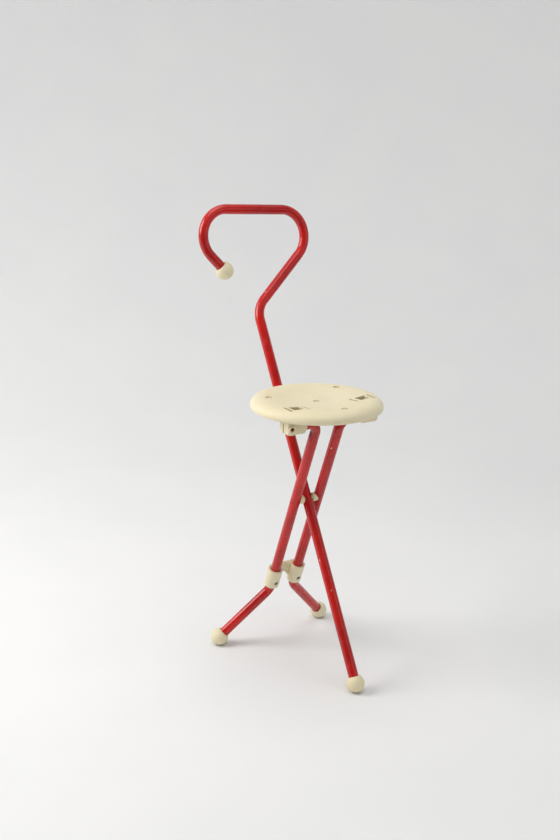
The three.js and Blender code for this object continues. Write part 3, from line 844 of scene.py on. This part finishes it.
def build_pin(material):
    """The pin's ends are domed flush with the legs and painted over with them."""
    half, radius, dome = PIVOT["half"], PIVOT["pin"], PIVOT["dome"]
    cap = bezier((radius, 0), (radius * 0.75, dome), (0, dome), 8)
    profile = [(r, -half - h) for r, h in reversed(cap)] + [(radius, -half), (radius, half)]
    profile += [(r, half + h) for r, h in cap]
    made = lathe(profile, 64)
    made.data.transform(Matrix.Rotation(math.pi / 2, 4, "X"))
    finish_piece(made, "pivot_pin", LEG_FRAME, material)


def build_bush(side, name, material):
    sign = SIDES[side]
    flange, offset = PIVOT["flange"], LEG["offset"]

    def at(distance):
        return (0, sign * distance, 0)

    body = union([
        rod(flange, at(TUBE["radius"] + FIT), at(offset - FIT), 96),
        rod(PIVOT["spigot"], at(PIVOT["spigot_in"]), at(TUBE["radius"] + 1)),
    ])
    saddle = rod(TUBE["radius"] + FIT, (0, sign * offset, -2 * flange), (0, sign * offset, 2 * flange), 96)
    made = cut(body, [saddle, rod(PIVOT["pin"] + FIT, at(0), at(offset))])
    soften(made, "bush")
    finish_piece(made, name, LEG_FRAME, material)


# ------------ collar


def build_collar(material):
    top = -COLLAR["down"] + COLLAR["height"] / 2
    bottom = top - COLLAR["height"]
    reach = COLLAR["radius"] + OVERCUT
    offset = LEG["offset"]

    def upright(radius, y, low, high):
        return rod(radius, (0, y, low), (0, y, high), 128)

    sleeves = [upright(COLLAR["radius"], sign * offset, bottom, top) for sign in SIDES.values()]
    bridge_low = (-COLLAR["radius"], -offset, bottom + COLLAR["bridge_lift"])
    bridge = slab(bridge_low, (COLLAR["bridge_front"], offset, top))
    body = union([*sleeves, bridge])
    arch_z = bottom + COLLAR["bridge_lift"] / 2
    cutters = [
        rod(COLLAR["arch"], (-reach, 0, arch_z), (0, 0, arch_z), 96),
        upright(COLLAR["cradle"], 0, bottom - OVERCUT, top + OVERCUT),
    ]
    z = -COLLAR["screw_down"]
    for sign in SIDES.values():
        y = sign * offset
        cutters.append(upright(TUBE["radius"] + FIT, y, bottom - OVERCUT, top + OVERCUT))
        floor = COLLAR["radius"] - SCREW["recess_depth"]
        cutters.append(rod(SCREW["recess"], (floor, y, z), (reach, y, z)))
        cutters.append(rod(SCREW["shank"] + FIT, (0, y, z), (reach, y, z)))
    made = cut(body, cutters)
    soften(made, "collar")
    finish_piece(made, "leg_collar", LEG_FRAME, material)


# ------------ seat


def top_outline(inset):
    """The top face from the middle out to the rim's widest point, set in by `inset`."""
    middle = SEAT["middle"] - inset
    shoulder = (SEAT["shoulder"], SEAT["shoulder_height"] - inset)
    crown = (SEAT["crown"], SEAT["height"] - inset)
    points = [(0, middle)]
    points += bezier(points[-1], (SEAT["flat_to"], middle), shoulder, 24)
    points += bezier(shoulder, (SEAT["shoulder_roll"], crown[1]), crown, 16)
    points += bezier(crown, (SEAT["roll"] - inset, crown[1]), (SEAT["radius"] - inset, SEAT["widest_at"]), 24)
    return points


def seat_shell():
    radius, foot = SEAT["radius"], (SEAT["foot_outer"], 0)
    tuck = [foot] + bezier(foot, (radius, 0), (radius, SEAT["widest_at"]), 12)[:-1]
    return lathe([*top_outline(SEAT["skin"]), (SEAT["foot_inner"], 0), *tuck, *reversed(top_outline(0))], 512)


def under_skin():
    """Everything under the middle of the skin. Ribs and pads are trimmed to it."""
    foot = (SEAT["foot_inner"] + SEAT["foot_outer"]) / 2
    return lathe([(0, 0.2), (foot, 0.2), *reversed(top_outline(SEAT["skin"] / 2))], 256)


def rib_ring(radius):
    outer = rod(radius + SEAT["rib"] / 2, (0, 0, 1), (0, 0, SEAT["height"]), 192)
    return cut(outer, [rod(radius - SEAT["rib"] / 2, (0, 0, 0), (0, 0, SEAT["height"] + 1), 192)])


def rib_spoke(index):
    half = SEAT["rib"] / 2
    made = slab((SEAT["hub"], -half, 1), (SEAT["radius"] - 3, half, SEAT["height"]))
    made.data.transform(Matrix.Rotation((index + 0.5) * 2 * math.pi / SEAT["ribs"], 4, "Z"))
    return made


def shaft_clearance(radius):
    """The shaft's straight line as the seat's frame sees it."""
    up = SHAFT_RUN.normalized()
    return rod(radius, SHAFT_IN_SEAT, SHAFT_IN_SEAT + up * 2 * SHAFT_RUN.length, 96)


def top_height_at(radius):
    """The height of the top face at a distance from the middle."""
    outline = top_outline(0)
    step = next(i for i in range(1, len(outline)) if outline[i][0] >= radius)
    (r0, z0), (r1, z1) = outline[step - 1], outline[step]
    return z0 + (z1 - z0) * (radius - r0) / (r1 - r0)


def dimple_places():
    turns = [2 * math.pi * i / DIMPLE["count"] for i in range(DIMPLE["count"])]
    return [(0, 0)] + [(DIMPLE["circle"] * math.cos(a), DIMPLE["circle"] * math.sin(a)) for a in turns]


def dimple_cutters():
    floor, mouth, depth = DIMPLE["floor"], DIMPLE["mouth"], DIMPLE["depth"]
    cutters = []
    for x, y in dimple_places():
        made = lathe([(0, -depth), (floor, -depth), (mouth, 0), (mouth + 1.5, 4), (0, 4)], 64)
        made.data.transform(Matrix.Translation((x, y, top_height_at(math.hypot(x, y)))))
        cutters.append(made)
    return cutters


def side_slab(sign, x_span, out_span, z_span):
    """A box given by its x span, its distances out from the middle plane on one side, and its z span."""
    return slab((x_span[0], sign * out_span[0], z_span[0]), (x_span[1], sign * out_span[1], z_span[1]))


def grown(span, by):
    return (span[0] - by, span[1] + by)


def around(middle, width):
    return (middle - width / 2, middle + width / 2)


def paint_seat_grime_and_shade(made):
    """Soiling and painted shade in the dimples and round the openings, kept as a vertex attribute."""
    x = HINGE_IN_SEAT.x
    slot = (BLOCK["tongue_x"] + 2 * FIT, BLOCK["tongue_y"] + 2 * FIT)
    openings = [(WINDOW["out"], WINDOW["x"], WINDOW["y"], GRIME_SHADE_WINDOW)]
    openings += [(tongue["out"], *slot, GRIME_SHADE_SLOT) for tongue in TONGUES]
    grime_and_shade = []
    for vertex in made.data.vertices:
        at = vertex.co
        seat_grime_shade = 0.0
        if at.z > SEAT["pad_floor"]:
            for px, py in dimple_places():
                gone = math.hypot(at.x - px, at.y - py)
                if gone < DIMPLE["mouth"]:
                    edge = math.exp(-(((gone - DIMPLE["floor"]) / GRIME_SHADE["edge_width"]) ** 2))
                    seat_grime_shade = max(seat_grime_shade, GRIME_SHADE["dimple"] + GRIME_SHADE["dimple_edge"] * edge)
            for out, wide, deep, look in openings:
                dx = max(0, abs(at.x - x) - wide / 2)
                dy = max(0, abs(abs(at.y) - out) - deep / 2)
                fade = math.exp(-((math.hypot(dx, dy) / look["spread"]) ** 2))
                seat_grime_shade = max(seat_grime_shade, look["strength"] * fade)
        grime_and_shade.append(seat_grime_shade)
    store = made.data.attributes.new("grime_and_shade", "FLOAT", "POINT")
    store.data.foreach_set("value", grime_and_shade)


def build_seat(material):
    x = HINGE_IN_SEAT.x
    height = SEAT["height"]
    pad = slab((CLIP["pad_front"], -CLIP["pad_half"], 0), (CLIP["pad_back"], CLIP["pad_half"], height))
    spokes = [rib_spoke(i) for i in range(SEAT["ribs"])]
    inside = union([rib_ring(SEAT["hub"]), rib_ring(SEAT["ring"]), pad, *spokes])
    x_span = (x - BLOCK["behind"], x + BLOCK["front"])
    out_span = (BLOCK["flange_inner"], BLOCK["outer"])
    wall_x, wall_out = grown(x_span, POCKET_WALL), grown(out_span, POCKET_WALL)
    walls = [side_slab(s, wall_x, wall_out, (1, height)) for s in SIDES.values()]
    inside = union([inside, *walls])
    floor = (-OVERCUT, SEAT["pad_floor"])
    pockets = [side_slab(s, grown(x_span, FIT), grown(out_span, FIT), floor) for s in SIDES.values()]
    inside = cut(inside, pockets)
    inside = combine(inside, [under_skin()], "INTERSECT")

    cutters = [shaft_clearance(TUBE["radius"] + SEAT["shaft_clearance"]), *dimple_cutters()]
    through = (0, height + OVERCUT)
    slot_x = around(x, BLOCK["tongue_x"] + 2 * FIT)
    for sign in SIDES.values():
        window_out = around(WINDOW["out"], WINDOW["y"])
        cutters.append(side_slab(sign, around(x, WINDOW["x"]), window_out, through))
        for tongue in TONGUES:
            slot_out = around(tongue["out"], BLOCK["tongue_y"] + 2 * FIT)
            cutters.append(side_slab(sign, slot_x, slot_out, through))
        hole = (CLIP["screw_x"], sign * CLIP["screw_y"])
        cutters.append(rod(SCREW["shank"] + FIT, (*hole, -1), (*hole, CLIP["screw_length"] - CLIP["plate"])))
    made = cut(union([seat_shell(), inside]), cutters)
    soften(made, "seat")
    paint_seat_grime_and_shade(made)
    finish_piece(made, "seat", SEAT_FRAME, material, 60)


# ------------ hinge blocks


def block_side(top):
    """Looking along Y: rounded behind and below the tube, flat in front, square up to the seat's pads."""
    front, behind, corner, bottom = BLOCK["front"], BLOCK["behind"], BLOCK["back_corner"], BLOCK["bottom"]
    points = [(front, top), (-behind, top), (-behind, bottom + corner)]
    points += arc((corner - behind, bottom + corner), corner, 180, 270, 16)[1:]
    return points + [(front, bottom)]


def block_front(top):
    """Looking along X: a wide head, and rounded lower corners, more at the end where the tube comes in."""
    inner, outer, bottom, small = BLOCK["inner"], BLOCK["outer"], BLOCK["bottom"], BLOCK["outer_corner"]
    corner = (inner, BLOCK["inner_corner_from"])
    bulge = (inner + BLOCK["inner_bulge"][0], bottom + BLOCK["inner_bulge"][1])
    points = [(BLOCK["flange_inner"], top), (BLOCK["flange_inner"], BLOCK["flange_bottom"])]
    points += [(inner, BLOCK["flange_bottom"]), corner]
    points += bezier(corner, bulge, (inner + BLOCK["inner_corner"], bottom), 14)
    points += arc((outer - small, bottom + small), small, 270, 360, 8)
    return points + [(outer, top)]


def build_hinge_block(side, name, material):
    sign = SIDES[side]
    top = SEAT["pad_floor"] - HINGE_IN_SEAT.z - FIT
    inner, outer, front = BLOCK["inner"], BLOCK["outer"], BLOCK["front"]
    section = prism(block_side(top), BLOCK["flange_inner"], outer, lambda u, v, d: Vector((u, sign * d, v)))
    outline = prism(block_front(top + 1), -2 * front, 2 * front, lambda u, v, d: Vector((d, sign * u, v)))
    body = combine(section, [outline], "INTERSECT")
    boss_y = sign * BOSS["out"]
    ring = rod(BOSS["radius"], (front - 2, boss_y, BOSS["z"]), (front + BOSS["proud"], boss_y, BOSS["z"]), 96)
    tongues = []
    for tongue in TONGUES:
        height = (top - 2, tongue["top"] - HINGE_IN_SEAT.z)
        out = around(tongue["out"], BLOCK["tongue_y"])
        tongues.append(side_slab(sign, around(0, BLOCK["tongue_x"]), out, height))
    body = union([body, ring, *tongues])
    mouth, end = sign * (inner - OVERCUT), sign * (LEG["top_end"] + FIT)
    hole_y = sign * BOSS["hole_out"]
    pocket_z = (BLOCK["pocket_floor"], top + OVERCUT)
    slot_out = (outer - END_SLOT["depth"], outer + OVERCUT)
    slot_z = (BLOCK["bottom"] - OVERCUT, END_SLOT["top"])
    made = cut(body, [
        rod(TUBE["radius"] + FIT, (0, mouth, 0), (0, end, 0), 96),
        rod(BOSS["hole"], (0, hole_y, BOSS["hole_z"]), (front + OVERCUT, hole_y, BOSS["hole_z"])),
        side_slab(sign, around(0, WINDOW["x"]), around(WINDOW["out"], WINDOW["y"]), pocket_z),
        side_slab(sign, around(END_SLOT["x"], END_SLOT["width"]), slot_out, slot_z),
    ])
    soften(made, "block")
    finish_piece(made, name, HINGE_FRAME, material)


# ------------ rear clip


def build_clip(material):
    """A thin plate with a fork. The arms stand each side of the shaft, open and folded alike."""
    gap = TUBE["radius"] + 2 * FIT
    half, arm, height = CLIP["half"], CLIP["arm"], CLIP["arm_height"]
    parts = [slab((CLIP["front"], -half, -CLIP["plate"] - FIT), (CLIP["back"], half, -FIT))]
    nose = (height - FIT) / 2
    nose_x, nose_z = CLIP["tip"] + nose, -FIT - nose
    for sign in SIDES.values():
        parts.append(side_slab(sign, (nose_x, CLIP["back"]), (gap, gap + arm), (-height, -FIT)))
        ends = [(nose_x, sign * out, nose_z) for out in (gap, gap + arm)]
        parts.append(rod(nose, *ends, 64))
    holes = []
    for sign in SIDES.values():
        x, y = CLIP["screw_x"], sign * CLIP["screw_y"]
        holes.append(rod(SCREW["shank"] + FIT, (x, y, -CLIP["plate"] - 1), (x, y, 1)))
    made = cut(union(parts), holes)
    soften(made, "clip")
    finish_piece(made, "shaft_clip", SEAT_FRAME, material)


def build_clip_screw(side, name, material):
    made = screw(CLIP["screw_length"])
    turned = Matrix.Rotation(math.pi / 2, 4, "Y")
    place = (CLIP["screw_x"], SIDES[side] * CLIP["screw_y"], -CLIP["plate"] - 2 * FIT)
    made.data.transform(Matrix.Translation(place) @ turned)
    finish_piece(made, name, SEAT_FRAME, material, 30)


# ------------ studio (m)

STUDIO = {"flat": 1.2, "wall": 3.6, "height": 5.0}
CAMERA = {"azimuth": 56.898, "elevation": 16.196, "roll": 0.895, "distance": 2.1095, "lens": 49.95}
CAMERA_OFFSET = Vector((-0.0738, -0.0001, 0.0246))
# the dark sheet that stands in for shade round the camera's side, seen only in reflections
SHADE_CARD = {"start": -95, "end": 60, "steps": 40}  # degrees from +X
SHADE_CARD_PROFILE = [(0.7, 0.01), (1.2, 0.03), (2.0, 0.2), (2.6, 0.52), (3.05, 0.98), (3.1, 3.4)]  # radius, z
PAPER = {"light": colour(0.84, 0.838, 0.835), "dark": colour(0.82, 0.82, 0.82)}
# colours of the dark sheet that gives painted dark reflections
SHADE_CARD_COLOURS = {"dark": colour(0.05, 0.05, 0.05), "light": colour(0.09, 0.085, 0.085)}
WORLD = colour(0.94, 0.95, 0.96)
WORLD_STRENGTH = 0.61
LIT = Vector((-0.065, 0, 0.4))  # the middle of what the lamps light
WARM, COOL, WHITE = (1.0, 0.985, 0.96), (0.97, 0.98, 1.0), (1.0, 1.0, 1.0)
# Places and aims are metres to the camera's right, away from it and up, all from LIT.
LAMPS = {
    "key": {"at": (-1.9, -0.2, 1.25), "aim": (0, 0, 0), "size": 1.5, "watts": 34, "tint": WARM},
    "fill": {"at": (2.2, -1.4, 0.9), "aim": (0, 0, 0), "size": 1.4, "watts": 4.5, "tint": COOL},
    "wash": {"at": (-1.2, 0.8, 1.5), "aim": (-1.3, 3.2, 1.4), "size": 0.9, "watts": 7, "tint": WHITE},
}
TOP_LAMP = {"at": (0, 0, 2.6), "size": 1.6, "watts": 12.5, "tint": WHITE}


def pale_paper():
    made = Recipe("pale_paper")
    tone = made.ramp(made.noise(3, 3), 0.3, 0.7)
    base = made.mix(tone, PAPER["light"], PAPER["dark"])
    made.feed(made.shader, {
        "Base Color": base,
        "Roughness": made.ramp(made.noise(40, 3), 0.3, 0.7, 0.75, 0.85),
        "Normal": made.bump(made.noise(14, 3), 0.0004),
        "Specular IOR Level": 0.2,
    })
    return made.material


def build_studio():
    """A pale floor that sweeps up into a round wall, so that every side view has the same backdrop."""
    radius = STUDIO["wall"] - STUDIO["flat"]
    profile = [(STUDIO["flat"] * i / 4, 0) for i in range(5)]
    profile += [(r, z + radius) for r, z in arc((STUDIO["flat"], 0), radius, -90, 0, 24)[1:]]
    profile.append((STUDIO["wall"], STUDIO["height"]))
    sides = 96
    vertices, faces = [], []
    for r, z in profile:
        turns = [2 * math.pi * i / sides for i in range(sides)]
        vertices += [(r * math.cos(a), r * math.sin(a), z) for a in turns]
    for ring in range(len(profile) - 1):
        for i in range(sides):
            j = (i + 1) % sides
            low = ring * sides
            faces.append((low + j, low + i, low + sides + i, low + sides + j))
    mesh = bpy.data.meshes.new("studio")
    mesh.from_pydata(vertices, [], faces)
    mesh.materials.append(pale_paper())
    mesh.shade_smooth()
    floor = link("studio", mesh)


# material of the dark sheet that stands in for shade in reflections
def shade_card_material():
    made = Recipe("shade_card_material")
    card_tone = made.ramp(made.noise(30, 3), 0.3, 0.7)
    base = made.mix(card_tone, SHADE_CARD_COLOURS["dark"], SHADE_CARD_COLOURS["light"])
    made.feed(made.shader, {"Base Color": base, "Roughness": 0.95})
    return made.material


def build_shade_card():
    """A dark sheet round the camera's side that stands in for the shade of a dark room. It is seen only in the
    reflections on gloss surfaces, as painted dark reflections.
    """
    steps = SHADE_CARD["steps"]
    rows = len(SHADE_CARD_PROFILE)
    vertices, faces = [], []
    for i in range(steps + 1):
        turn = math.radians(SHADE_CARD["start"] + (SHADE_CARD["end"] - SHADE_CARD["start"]) * i / steps)
        vertices += [(r * math.cos(turn), r * math.sin(turn), z) for r, z in SHADE_CARD_PROFILE]
    for i in range(steps):
        for low in range(i * rows, (i + 1) * rows - 1):
            faces.append((low, low + 1, low + rows + 1, low + rows))
    mesh = bpy.data.meshes.new("shade_card")
    mesh.from_pydata(vertices, [], faces)
    mesh.materials.append(shade_card_material())
    mesh.shade_smooth()
    shade_card = link("shade_card", mesh)
    shade_card.visible_camera = False
    shade_card.visible_diffuse = False
    shade_card.visible_shadow = False


def area_light(name, at, aim, look):
    data = bpy.data.lights.new(name, "AREA")
    data.shape = "DISK"
    data.size = look["size"]
    data.energy = look["watts"]
    data.color = look["tint"]
    lamp = bpy.data.objects.new(name, data)
    lamp.location = at
    lamp.rotation_euler = (Vector(aim) - Vector(at)).to_track_quat("-Z", "Y").to_euler()
    lamp.visible_camera = False
    bpy.context.scene.collection.objects.link(lamp)


def camera_axes():
    azimuth, elevation = math.radians(CAMERA["azimuth"]), math.radians(CAMERA["elevation"])
    right = Vector((math.cos(azimuth), math.sin(azimuth), 0))
    ahead = Vector((-math.sin(azimuth) * math.cos(elevation), math.cos(azimuth) * math.cos(elevation), 0))
    ahead.z = -math.sin(elevation)
    return right, right.cross(ahead), ahead


def build_lights():
    right, _, ahead = camera_axes()
    level = Vector((ahead.x, ahead.y, 0)).normalized()

    def placed(offset):
        return LIT + right * offset[0] + level * offset[1] + Vector((0, 0, offset[2]))

    for name, look in LAMPS.items():
        area_light(name, placed(look["at"]), placed(look["aim"]), look)
    area_light("top", TOP_LAMP["at"], LIT, TOP_LAMP)
    world = bpy.data.worlds.new("world")
    world.use_nodes = True
    background = world.node_tree.nodes["Background"]
    background.inputs["Color"].default_value = WORLD
    background.inputs["Strength"].default_value = WORLD_STRENGTH
    bpy.context.scene.world = world


def build_camera():
    right, up, ahead = camera_axes()
    roll = math.radians(CAMERA["roll"])
    across = right * math.cos(roll) + up * math.sin(roll)
    upward = up * math.cos(roll) - right * math.sin(roll)
    low, high = Vector(CAD_BOX[0]), Vector(CAD_BOX[1])
    aim = (low + high) / 2 + CAMERA_OFFSET
    data = bpy.data.cameras.new("camera")
    data.lens = CAMERA["lens"]
    data.sensor_width = 36
    camera = bpy.data.objects.new("camera", data)
    bpy.context.scene.collection.objects.link(camera)
    turn = Matrix((across, upward, -ahead)).transposed().to_4x4()
    camera.matrix_world = Matrix.Translation(aim - ahead * CAMERA["distance"]) @ turn
    bpy.context.scene.camera = camera


# ------------ assembly


def build_object():
    paint = red_paint()
    ball_cream = cream_plastic("cream_balls", 0.8)
    moulding = cream_plastic("cream_mouldings", 0.6, 0.12)
    seat_cream = cream_plastic("cream_seat", 0.45)
    steel = old_steel()

    handle_end, handle_back = build_cane_tube(paint)
    build_ball("handle_ball", SHAFT_FRAME, handle_end, handle_back, ball_cream, False)
    build_ball("cane_foot", SHAFT_FRAME, (0, 0, -SHAFT_RUN.length), (0, 0, 1), ball_cream, True)
    for side in SIDES:
        foot, toward = build_leg_tube(side, f"{side}_leg_tube", paint)
        build_ball(f"{side}_foot", LEG_FRAME, foot, toward, ball_cream, True)
        build_collar_screw(side, f"{side}_collar_screw", steel)
        build_bush(side, f"{side}_pivot_bush", moulding)
        build_hinge_block(side, f"{side}_hinge_block", moulding)
        build_clip_screw(side, f"{side}_clip_screw", steel)
    build_pin(paint)
    build_collar(moulding)
    build_seat(seat_cream)
    build_clip(moulding)


build_object()
build_studio()
build_shade_card()
build_lights()
build_camera()
bpy.context.scene.view_settings.view_transform = "Standard"
